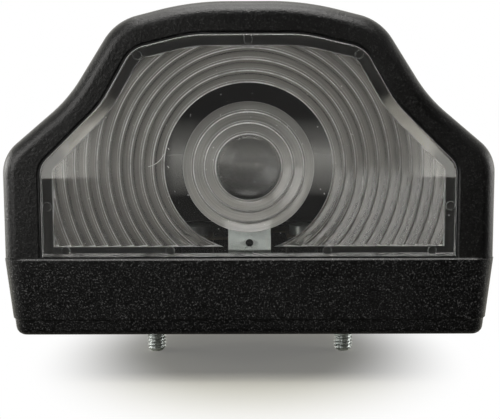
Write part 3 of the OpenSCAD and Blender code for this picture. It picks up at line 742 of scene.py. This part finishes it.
def plated(name, colour, roughness, lean=0.0, shade_z=None):
    """Metal with a cloudy and faintly brushed finish.

    Upright faces can be shaded as if leaning back,
    and a blurred painted shade can lie at a height on the middle line.
    """
    n = Nodes(name)
    where = n.position()
    cloud = n.noise(where, scale=420, detail=4.0, roughness=0.6)
    stretched = n.add("ShaderNodeMapping", {"Vector": where, "Scale": (1.0, 1.0, 0.12)})
    streaks = n.noise(stretched.outputs[0], scale=9000)
    surface = n.ramp(cloud, (0.3, tuple(c * 0.82 for c in colour)), (0.62, colour))
    if shade_z is not None:
        shade_colour = tuple(c * HOLE_SHADE_DARK for c in colour)
        surface = n.mix(hole_shade_blur(n, where, cloud, shade_z), surface, (*shade_colour, 1))
    n.set(Base_Color=surface, Metallic=1.0)
    n.set(Roughness=n.ramp(cloud, (0.3, roughness + 0.12), (0.7, roughness)))
    slope = n.bump(n.math("MULTIPLY", n.axes(where)["Z"], -1 / MM), lean) if lean else None
    n.set(Normal=n.bump(streaks, STREAK_DEPTH, under=slope))
    return n.material


def glass(name):
    """Thin glass with a faint ripple."""
    n = Nodes(name)
    n.set(Base_Color=(0.96, 0.97, 0.97, 1), Roughness=0.0, IOR=1.5, Transmission_Weight=1.0)
    n.set(Normal=n.bump(n.noise(n.position(), scale=260, detail=1.0), 0.015))
    return n.material


def rubber():
    """Dull black rubber."""
    n = Nodes("rubber")
    where = n.position()
    shade = n.noise(where, scale=300, detail=3.0)
    n.set(Base_Color=n.ramp(shade, (0.3, 0.018), (0.7, 0.032)), Roughness=0.7)
    n.set(Normal=n.bump(n.noise(where, scale=2600), 0.02))
    return n.material


def plain_finish(name, colour, roughness, metallic=0.0):
    """Small inner pieces: a colour that varies a little, with fine bumps."""
    n = Nodes(name)
    where = n.position()
    darker = tuple(c * 0.8 for c in colour)
    n.set(Base_Color=n.ramp(n.noise(where, scale=700, detail=3.0), (0.35, darker), (0.65, colour)))
    n.set(Roughness=roughness, Metallic=metallic)
    n.set(Normal=n.bump(n.noise(where, scale=3000), 0.008))
    return n.material


HOOD_PLASTIC = grained_plastic("hood_grained", roughness=0.34, crest=0.03)
BASE_PLASTIC = grained_plastic("base_grained", roughness=0.4, crest=0.13)
INSIDE = inner_plastic()
LENS_CLEAR = clear_plastic("lens_clear", (0.97, 0.975, 0.97), haze=0.015, roughness=0.0)
LENS_RINGS = clear_plastic("lens_rings", (0.97, 0.94, 0.88), RING_HAZE, roughness=0.1,
                           marks=TURNING_DEPTH, pitch=RING_PITCH)
LENS_EYE = clear_plastic("lens_eye", (0.97, 0.95, 0.9), EYE_HAZE, roughness=0.08, marks=TURNING_DEPTH)
LENS_DOME = clear_plastic("lens_dome", (0.97, 0.94, 0.9), haze=0.01, roughness=0.24, foot=DOME_PAINTED_SHADE)
# Painted highlight: white, part metallic faces on the clear lens's crests, risers and foot
LENS_EDGE = edge_highlight("lens_edge", least=0.5, most=0.97)
LENS_FOOT = edge_highlight("lens_foot", least=0.1, most=0.5)
LENS_BORDER = border_reflection()
ZINC = plated("zinc_plate", (0.78, 0.82, 0.81), roughness=0.28)
ZINC_SHEET = plated("zinc_sheet", (0.8, 0.85, 0.81), roughness=0.35)
# Painted light: a lighter copy of the zinc sheet, so that the strip looks brightly lit
BRACKET = plated("zinc_bracket", (0.95, 1.0, 0.97), roughness=0.32, lean=STRIP_LEAN, shade_z=HOLE_Z * MM)
# Painted shade: the plug's dark face stands where the open hole shows shade
HOLE_SHADE = plain_finish("hole_painted_shade", (0.05, 0.055, 0.055), roughness=0.4)
BRASS = plated("contact_brass", (0.24, 0.2, 0.14), roughness=0.38)
NICKEL = plated("nickel_cap", (0.74, 0.71, 0.64), roughness=0.2)
BULB_GLASS = glass("bulb_glass")
TUNGSTEN = plain_finish("filament", (0.3, 0.3, 0.31), roughness=0.35, metallic=1.0)
VITRITE = plain_finish("vitrite", (0.012, 0.012, 0.016), roughness=0.15)
SOLDER = plain_finish("solder", (0.55, 0.55, 0.54), roughness=0.3, metallic=1.0)
RUBBER = rubber()


def roof(y):
    """Share of the hood's height that is left at y."""
    return 1 - ROOF_DROP * max(0.0, (y - FRONT_Y) / (REAR_Y - FRONT_Y)) ** ROOF_POWER


def hood_outline(y):
    """Right half of the hood's outline under the roof at y."""
    return half_outline([(x, up * roof(y), r) for x, up, r in HOOD_CORNERS])


WINDOW = half_outline(WINDOW_CORNERS)


def hood_body():
    """Bell-shaped solid: the outline runs back under the falling roof, rounded at the front and rear."""
    first, last = FRONT_Y + FRONT_EDGE_R, REAR_Y - REAR_EDGE_R
    rows = []
    for a in EDGE_ANGLES[:-1]:
        rows.append(upright(hood_outline(FRONT_Y), FRONT_Y + FRONT_EDGE_R * (1 - math.cos(a)),
                            FRONT_EDGE_R * (1 - math.sin(a))))
    rows += [upright(hood_outline(y), y) for y in np.linspace(first, last, ROOF_ROWS)]
    for a in EDGE_ANGLES[1:]:
        y = last + REAR_EDGE_R * math.sin(a)
        rows.append(upright(hood_outline(y), y, REAR_EDGE_R * (1 - math.cos(a))))
    return loft("hood_shell", rows)


def window_cutter():
    """Opening for the lens: a rounded lip, the rebate, and the narrower hole through the ledge."""
    rows = [upright(WINDOW, FRONT_Y - PAST, -LIP_ROUND - LIP_FLARE, PAST)]
    for a in SMALL_EDGE_ANGLES:
        rows.append(upright(WINDOW, FRONT_Y + LIP_ROUND * (1 - math.cos(a)),
                            -LIP_ROUND * (1 - math.sin(a)), PAST))
    rows.append(upright(WINDOW, LENS_BACK_Y + LEDGE_GAP, 0, PAST))
    rows.append(upright(WINDOW, LENS_BACK_Y + LEDGE_GAP, LEDGE_W, PAST))
    rows.append(upright(WINDOW, CAVITY_Y + PAST, LEDGE_W, PAST))
    return loft("window_cutter", rows)


def mark_inside(hood):
    """Gives the hood's inner faces the smoother finish: those behind the ledge that look at the hollow."""
    middle = Vector((0, 0, SEAM_Z + INSIDE_MIDDLE_UP)) * MM
    for face in hood.data.polygons:
        behind = face.center.y > (LENS_BACK_Y + 0.1) * MM
        inwards = face.normal.dot(middle - face.center) > 0
        face.material_index = 1 if behind and inwards else 0


def make_hood():
    """Hood with its hollow, screw columns, pockets and window, as one moulding."""
    cavity = loft("cavity", [upright(hood_outline(y + HOOD_WALL / 2), y, HOOD_WALL, PAST)
                             for y in np.linspace(CAVITY_Y, REAR_Y - HOOD_WALL, ROOF_ROWS)])
    screws = [(side * HOOD_SCREW.x, HOOD_SCREW.y) for side in (-1, 1)]
    for at in screws:
        combine(cavity, cylinder("tower", TOWER_R, 0, TOP_Z, at), "DIFFERENCE")
        column = cylinder("column", POCKET_R + COLUMN_WALL, POCKET_Z - HOOD_WALL, TOP_Z, at)
        combine(cavity, column, "DIFFERENCE")
    hood = hood_body()
    combine(hood, cavity, "DIFFERENCE")
    combine(hood, window_cutter(), "DIFFERENCE")
    for at in screws:
        combine(hood, cylinder("pocket", POCKET_R, POCKET_Z, TOP_Z + 2 * PAST, at), "DIFFERENCE")
        combine(hood, cylinder("bore", SCREW_BORE_R, 0, TOP_Z, at, SMALL_SIDES), "DIFFERENCE")
    finished(hood, "housing", ["hood"], HOOD_PLASTIC, INSIDE)
    mark_inside(hood)
    smooth(hood)


def ring_profile(radii, end):
    """Closed saw-tooth section of Fresnel rings: a riser, a flat land, and a slope with a nick in it."""
    path = [(radii[0], -RELIEF_ROOT, 0), (radii[0], 0.0, 0)]
    for r in radii:
        land = r + RING_RISER + RING_LAND
        nick = r + RING_NICK
        slope = RING_H - (RING_H - RING_LOW) * RING_NICK / RING_PITCH
        path += [(r + RING_VALLEY, RING_LOW, RING_ROUNDING), (r + RING_RISER, RING_H, 0), (land, RING_H, 0),
                 (nick - RING_NICK_W, slope, 0), (nick, slope - RING_NICK_T, 0),
                 (nick + RING_NICK_W, slope, 0)]
    path += [(end - RING_VALLEY, RING_LOW, RING_ROUNDING), (end, 0.0, 0), (end, -RELIEF_ROOT, 0)]
    points = [path[0][:2]]
    for a, b, c in zip(path, path[1:], path[2:]):
        points += [row[:2] for row in corner(a, b, c, RING_ROUNDING_STEPS)] if b[2] else [b[:2]]
    return points + [path[-1][:2]]


def plate_row(y, inset):
    """Outline of the lens plate at y, moved in by inset, with a foot that rises to the rear."""
    slope = LENS_FOOT_SLOPE * (y - LENS_Y) / LENS_T
    return upright(WINDOW, y, LENS_GAP + inset, -LENS_GAP - inset - slope)


def lens_plate():
    """Lens plate with rounded front edges and a small bevel at the back."""
    rows = [plate_row(LENS_Y + LENS_BEVEL * (1 - math.cos(a)), LENS_BEVEL * (1 - math.sin(a)))
            for a in SMALL_EDGE_ANGLES]
    rows += [plate_row(LENS_BACK_Y - LENS_BACK_BEVEL, 0), plate_row(LENS_BACK_Y, LENS_BACK_BEVEL)]
    return loft("lens_moulding", rows)


def lens_rings(at):
    """Fresnel rings that are cut off where the lens's border begins."""
    count = math.ceil((math.hypot(HOOD_X, HOOD_H) - RING_FIRST_R) / RING_PITCH)
    radii = [RING_FIRST_R + i * RING_PITCH for i in range(count)]
    rings = turned("rings", ring_profile(radii, radii[-1] + RING_PITCH), RING_SIDES, "y", at)
    field = [upright(WINDOW, LENS_BACK_Y + up, LENS_GAP + BORDER_W + FIELD_DRAFT * up,
                     -BORDER_W - FIELD_DRAFT * up) for up in FIELD_HEIGHTS]
    return combine(rings, loft("field", field), "INTERSECT")


def bulls_eye(at):
    """Dome in the middle of the lens, inside three small rings."""
    ball = (DOME_R ** 2 + DOME_H ** 2) / (2 * DOME_H)
    sweep = np.linspace(0, math.asin(DOME_R / ball), DOME_ROWS)
    dome = [(ball * math.sin(a), DOME_H - ball + ball * math.cos(a)) for a in sweep]
    step = (EYE_R - DOME_R) / EYE_RINGS
    teeth = ring_profile([DOME_R + i * step for i in range(EYE_RINGS)], EYE_R)
    return turned("eye", [(0, -RELIEF_ROOT), (0, DOME_H)] + dome[1:-1] + teeth[2:], EYE_SIDES, "y", at)


def pin_marks():
    """Middles of the round ejector-pin marks on the lens's border."""
    window_x = HOOD_X - FRAME_SIDE
    inset = LENS_GAP + BORDER_W / 2
    arc_steps = 6
    crown_middle = 1 + 2 * (arc_steps + 1) + arc_steps // 2
    x, up, normal_x, normal_up = half_outline(WINDOW_CORNERS, arc_steps, 0)[crown_middle]
    side = [(window_x - inset, SIDE_MARK_UP),
            (x - normal_x * inset, up - normal_up * inset),
            (window_x - FOOT_MARK_IN, FOOT_MARK_UP), (window_x * FOOT_MARK_SHARE, FOOT_MARK_UP)]
    top = HOOD_H - FRAME_TOP - LENS_GAP - BORDER_W / 2
    return side + [(-x, up) for x, up in side] + [(0, top), (0, FOOT_MARK_UP)]


def lens_part(face):
    """Material slot of a lens face, from where it lies and looks, with tolerances in millimetres."""
    x, y, z = face.center / MM
    r = math.hypot(x, z - AXIS_Z)
    behind_front = y > LENS_Y + 0.02
    if face.normal.z < -0.5 and behind_front and y < LENS_BACK_Y:
        return FOOT
    if y > LENS_BACK_Y and r < DOME_R - 0.1:
        return DOME
    on_crest = y > LENS_BACK_Y + RING_H - 0.03 and r > DOME_R
    steep = abs(face.normal.y) < 0.8 and behind_front
    if on_crest or steep:
        return EDGE
    if y > LENS_BACK_Y + 0.01:
        return EYE if r < EYE_R + 0.1 else RINGS
    on_border = y > LENS_BACK_Y - 0.2 and r > RING_FIRST_R + 1
    return BORDER if on_border else PLATE


def make_lens():
    """Lens plate with the Fresnel relief moulded on its back, and the ejector-pin marks."""
    at = (0, LENS_BACK_Y, AXIS_Z)
    lens = lens_plate()
    combine(lens, lens_rings(at), "UNION")
    combine(lens, bulls_eye(at), "UNION")
    pin = [(0, -PIN_MARK_T), (PIN_MARK_R - 0.06, -PIN_MARK_T), (PIN_MARK_R + 0.05, 0.05), (0, 0.05)]
    for x, up in pin_marks():
        mark = turned("mark", pin, SMALL_SIDES, "y", (x, LENS_BACK_Y, SEAM_Z + up))
        combine(lens, mark, "DIFFERENCE")
    finished(lens, "lens", ["lens"],
             LENS_CLEAR, LENS_RINGS, LENS_EYE, LENS_DOME, LENS_EDGE, LENS_BORDER, LENS_FOOT)
    for face in lens.data.polygons:
        face.material_index = lens_part(face)
    smooth(lens, 25)


def threaded(name, low, high, at):
    """Threaded rod between two heights, with a chamfered lower end."""
    heights = np.linspace(low, high, int((high - low) / THREAD_PITCH * THREAD_ROWS) + 1)
    n, steps = len(heights), THREAD_SIDES
    verts = []
    for z in heights:
        chamfer = max(0.0, THREAD_CHAMFER - (z - low))
        for k in range(steps):
            a = 2 * math.pi * k / steps
            phase = (z / THREAD_PITCH - k / steps) % 1.0
            wave = min(1.0, max(0.0, FLANK_TOP - abs(2 * phase - 1) * FLANK_SLOPE))
            r = min(STUD_R - THREAD_DEPTH * (1 - wave), STUD_R - chamfer)
            verts.append((at[0] + r * math.cos(a), at[1] + r * math.sin(a), z))
    faces = [(i * steps + k, i * steps + (k + 1) % steps, (i + 1) * steps + (k + 1) % steps,
              (i + 1) * steps + k) for i in range(n - 1) for k in range(steps)]
    faces += [tuple(range(steps)), tuple(range((n - 1) * steps, n * steps))]
    return new_piece(name, verts, faces)


def make_stud(node):
    """Mounting stud: a rolled thread under a chamfered hexagon head."""
    low, high = box_mm(node)
    at = (low + high) / 2
    seat, top = high[2] - STUD_HEAD_H, high[2]
    corner_r = STUD_FLATS / math.sqrt(3)
    profile = [(0, seat), (corner_r, seat), (corner_r, top - HEAD_CHAMFER), (STUD_FLATS / 2 - 0.1, top),
               (0, top)]
    stud = threaded(node + "_threaded", low[2], seat + 0.2, at)
    head = turned(node + "_head", profile, 6, "z", (at[0], at[1], 0))
    bevel(head, HEAD_BEVEL)
    combine(stud, head, "UNION")
    finished(stud, "zinc_plate", [node], ZINC)
    smooth(stud, 40)


def bulb_skin(wall):
    """Half section of the bulb's glass at a depth in its wall: a ball that runs into a straight neck."""
    r = BALL_R - wall
    end = math.asin((NECK_R - wall) / r)
    arc = [(r * math.sin(a), BALL_R - r * math.cos(a)) for a in np.linspace(0, math.pi - end, 40)]
    return arc + [(NECK_R - wall, NECK_S)]


def make_filament():
    """Coil between the tips of two wires that rise from the stem."""
    low, high = box_mm("bulb_filament")
    half = (high[0] - low[0]) / 2 - 0.1
    centre_y = TIP_Y + BALL_R
    path = []
    for t in np.linspace(0, 1, COIL_TURNS * COIL_ROWS + 1):
        a = 2 * math.pi * COIL_TURNS * t
        path.append((-half + 2 * half * t, centre_y + COIL_R * math.cos(a), AXIS_Z + COIL_R * math.sin(a)))
    coil = tube("filament_coil", path, COIL_WIRE_R, 6)
    for side in (-1, 1):
        foot = (side * LEAD_FOOT_X, high[1] - 0.02, AXIS_Z)
        top = (side * half, centre_y + COIL_R * 0.9, AXIS_Z)
        join(coil, tube("filament_wire", [foot, tuple((np.array(foot) + top) / 2), top], LEAD_R, 10))
    finished(coil, "filament", ["bulb_filament"], TUNGSTEN)
    smooth(coil, 60)


def make_bulb():
    """Bulb glass with its real wall, and its filament."""
    profile = bulb_skin(0) + bulb_skin(GLASS_T)[::-1]
    bulb = turned("bulb_envelope", profile, 96, "y", (0, TIP_Y, AXIS_Z))
    finished(bulb, "bulb_glass", ["bulb_glass"], BULB_GLASS)
    smooth(bulb, 50)
    make_filament()


def make_bracket():
    """Bracket strip whose hole is closed at the rear by a plug whose dark face is painted shade."""
    back = box_mm("bulb_bracket")[1][1]
    rear = back - 0.02
    front = back - STRIP_T / 2
    bracket = copy_of("bulb_bracket", "bracket_strip")
    plug = [(0, front), (HOLE_R + 0.05, front), (HOLE_R + 0.05, rear), (0, rear)]
    combine(bracket, turned("hole_plug", plug, SMALL_SIDES, "y", (0, 0, HOLE_Z)), "UNION")
    bevel(bracket, BRACKET_BEVEL)
    finished(bracket, "zinc_sheet", ["bulb_bracket"], BRACKET, HOLE_SHADE)
    # Painted shade on the plug's front face inside the hole
    for face in bracket.data.polygons:
        x, y, z = face.center / MM
        inside = math.hypot(x, z - HOLE_Z) < HOLE_R - 0.02
        face.material_index = 1 if inside and face.normal.y < -0.9 else 0
    smooth(bracket)


def dressed(node, slot, material, width):
    """Piece that keeps its CAD form and gets rounded edges."""
    piece = copy_of(node, node + "_piece")
    bevel(piece, width)
    finished(piece, slot, [node], material)
    smooth(piece)


def floor_paper():
    """White paper that shows the lamp's own shadow, is dark to unseen rays in front, and open from below."""
    n = Nodes("floor_paper")
    where = n.position()
    distance = n.vector("LENGTH", n.vector("MULTIPLY", where, SHADOW_SCALE)[0])["Value"]
    fade = n.remap(distance, SHADOW_FULL, SHADOW_END, SHADOW_LEAST, kind="SMOOTHSTEP")
    ray = n.add("ShaderNodeLightPath").outputs
    seen = n.math("MAXIMUM", ray["Is Camera Ray"], ray["Is Transmission Ray"])
    # Painted shade: the paper in front is dark to all but camera rays, so reflections of it stay dark
    front = n.remap(n.axes(where)["Y"], FLOOR_DARK_FROM, FLOOR_DARK_TO)
    unseen = n.math("MULTIPLY", front, n.math("SUBTRACT", 1.0, ray["Is Camera Ray"]))
    n.set(Base_Color=n.mix(unseen, FLOOR_PAPER, FLOOR_DARK), Roughness=0.9, Specular_IOR_Level=0.0)
    white = n.add("ShaderNodeEmission", {"Color": (1, 1, 1, 1), "Strength": 1.0}).outputs[0]
    share = n.math("MULTIPLY", fade, seen)
    paper = n.add("ShaderNodeMixShader", {0: share, 1: n.bsdf.outputs[0], 2: white}).outputs[0]
    below = n.add("ShaderNodeNewGeometry").outputs["Backfacing"]
    clear = n.add("ShaderNodeBsdfTransparent").outputs[0]
    surface = n.add("ShaderNodeMixShader", {0: below, 1: paper, 2: clear}).outputs[0]
    n.fill(n.tree.nodes["Material Output"].inputs["Surface"], surface)
    return n.material


def make_stage():
    """Pale round floor under the stud tips."""
    mesh = bpy.data.meshes.new("floor")
    ring = [(FLOOR_R * math.cos(a), FLOOR_Y + FLOOR_R * math.sin(a), FLOOR_Z * MM)
            for a in np.linspace(0, 2 * math.pi, FLOOR_SIDES + 1)[:-1]]
    mesh.from_pydata(ring, [], [tuple(range(len(ring)))])
    floor = bpy.data.objects.new("floor", mesh)
    bpy.context.scene.collection.objects.link(floor)
    mesh.materials.append(floor_paper())


def make_world():
    """White surroundings that are dark towards the front, apart from low panels there."""
    world = bpy.data.worlds.new("studio")
    bpy.context.scene.world = world
    n = Nodes("studio", world)
    towards = n.add("ShaderNodeTexCoord").outputs["Generated"]
    lean = n.vector("DOT_PRODUCT", towards, LIGHT_FROM)["Value"]
    shade = n.remap(lean, FRONT_LEAN, BACK_LEAN, FRONT_LIGHT, BACK_LIGHT)
    parts = n.axes(towards)
    height = n.remap(parts["Z"], PANEL_LOW, PANEL_HIGH)
    sideways = n.remap(parts["X"], -PANEL_SIDE, PANEL_SIDE)
    panels = 0.0
    for panel in (MIDDLE_PANEL, OUTER_PANEL):
        share = n.math("MULTIPLY", n.ramp(height, *panel["up"]), n.ramp(sideways, *panel["across"]))
        panels = n.math("ADD", panels, n.math("MULTIPLY", share, panel["light"]))
    panels = n.math("MULTIPLY", panels, n.math("LESS_THAN", parts["Y"], PANELS_AHEAD))
    seen = n.add("ShaderNodeLightPath").outputs["Is Camera Ray"]
    strength = n.add("ShaderNodeMix", {0: seen, 2: n.math("ADD", shade, panels), 3: 1.0}, data_type="FLOAT")
    background = n.tree.nodes["Background"].inputs
    n.fill(background["Strength"], strength.outputs[0])
    n.fill(background["Color"], n.mix(seen, (*WORLD_TINT, 1), (1, 1, 1, 1)))


def make_lamp(name, at, size, radiance, aim):
    """Soft rectangular lamp that faces a point, with a given brightness of its surface."""
    data = bpy.data.lights.new(name, "AREA")
    data.shape = "RECTANGLE"
    data.size, data.size_y = size
    data.energy = radiance * math.pi * size[0] * size[1]
    data.color = LAMP_TINT
    lamp = bpy.data.objects.new(name, data)
    lamp.location = at
    lamp.rotation_euler = (Vector(at) - Vector(aim)).to_track_quat("Z", "Y").to_euler()
    lamp.visible_camera = False
    bpy.context.scene.collection.objects.link(lamp)


def make_camera():
    """Camera of the photograph: forward from its yaw and pitch, then turned by its roll."""
    data = bpy.data.cameras.new("camera")
    camera = bpy.data.objects.new("camera", data)
    bpy.context.scene.collection.objects.link(camera)
    data.sensor_width = SENSOR
    data.lens = FOCAL_PIXELS / VIEW_W * SENSOR
    data.clip_start, data.clip_end = 0.01, 20
    yaw, pitch, roll = CAMERA_YAW, CAMERA_PITCH, CAMERA_ROLL
    forward = Vector((math.sin(yaw) * math.cos(pitch), math.cos(yaw) * math.cos(pitch), -math.sin(pitch)))
    right = Vector((math.cos(yaw), -math.sin(yaw), 0))
    up = right.cross(forward)
    side = right * math.cos(roll) + up * math.sin(roll)
    top = up * math.cos(roll) - right * math.sin(roll)
    turn = Matrix((side, top, -forward)).transposed()
    camera.matrix_world = Matrix.Translation(Vector(CAMERA_AT) * MM) @ turn.to_4x4()
    bpy.context.scene.camera = camera


make_camera()
make_world()
make_stage()
for lamp_values in LAMPS:
    make_lamp(*lamp_values)
make_hood()
make_lens()
for stud_node in ("stud_left", "stud_right"):
    make_stud(stud_node)
make_bulb()
make_bracket()

for node_name, material in (("seam_gasket", RUBBER), ("cable_grommet", RUBBER),
                            ("bulb_stem", BULB_GLASS), ("bulb_insulator", VITRITE),
                            ("bulb_contact", SOLDER)):
    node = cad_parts[node_name]
    node.data.materials.clear()
    node.data.materials.append(material)

for node_name, slot, material, width in (
        ("base_housing", "housing", BASE_PLASTIC, BASE_BEVEL),
        ("hood_screw_left", "zinc_plate", ZINC, SCREW_BEVEL),
        ("hood_screw_right", "zinc_plate", ZINC, SCREW_BEVEL),
        ("bracket_rivet_left", "zinc_sheet", ZINC_SHEET, RIVET_BEVEL),
        ("bracket_rivet_right", "zinc_sheet", ZINC_SHEET, RIVET_BEVEL),
        ("socket_sleeve", "zinc_sheet", ZINC_SHEET, SLEEVE_BEVEL),
        ("contact_leaf", "contact_brass", BRASS, THIN_BEVEL),
        ("earth_strip", "contact_brass", BRASS, THIN_BEVEL),
        ("live_screw", "zinc_plate", ZINC, TERMINAL_BEVEL),
        ("earth_screw", "zinc_plate", ZINC, TERMINAL_BEVEL),
        ("bulb_cap", "nickel_cap", NICKEL, THIN_BEVEL)):
    dressed(node_name, slot, material, width)

scene = bpy.context.scene
scene.view_settings.view_transform = "Standard"
